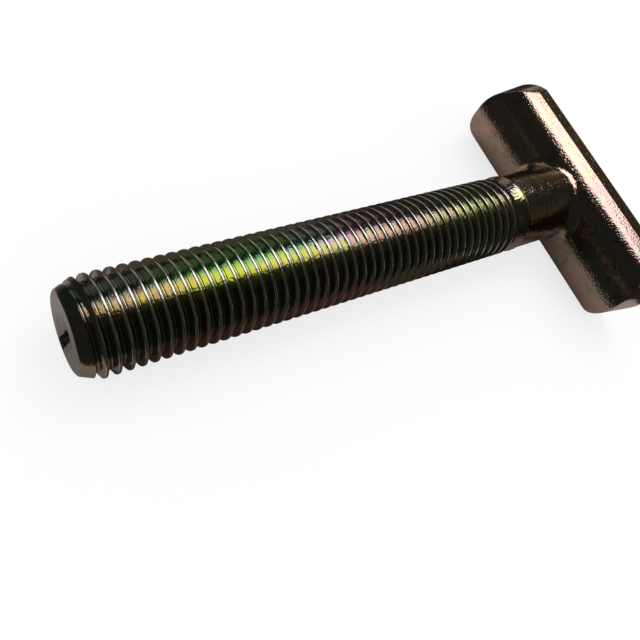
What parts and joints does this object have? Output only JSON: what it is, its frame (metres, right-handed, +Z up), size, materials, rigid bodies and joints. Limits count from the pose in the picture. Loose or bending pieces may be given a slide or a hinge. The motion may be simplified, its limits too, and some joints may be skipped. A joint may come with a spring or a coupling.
{
  "type": "hammer-head T bolt",
  "caption": "Hammer-head T bolt: a half-round forged bar head across the end of a long round shank, with a coarse right-hand thread and a plain neck.",
  "frame": {"origin": "centre of the bounding box's base, on the surface the bolt lies on", "axes": "the shank's axis lies in the XZ plane with its threaded tip towards +X, nose-down by 1.05 degrees; the head bar runs along Y; +Z is up"},
  "size_m": [0.1158, 0.0588, 0.02],
  "materials": {
    "zinc_plate": "yellow-passivated zinc plate on forged and rolled steel, thin and iridescent"
  },
  "bodies": {
    "root": {"t_bolt": "zinc_plate"}
  },
  "joints": []
}
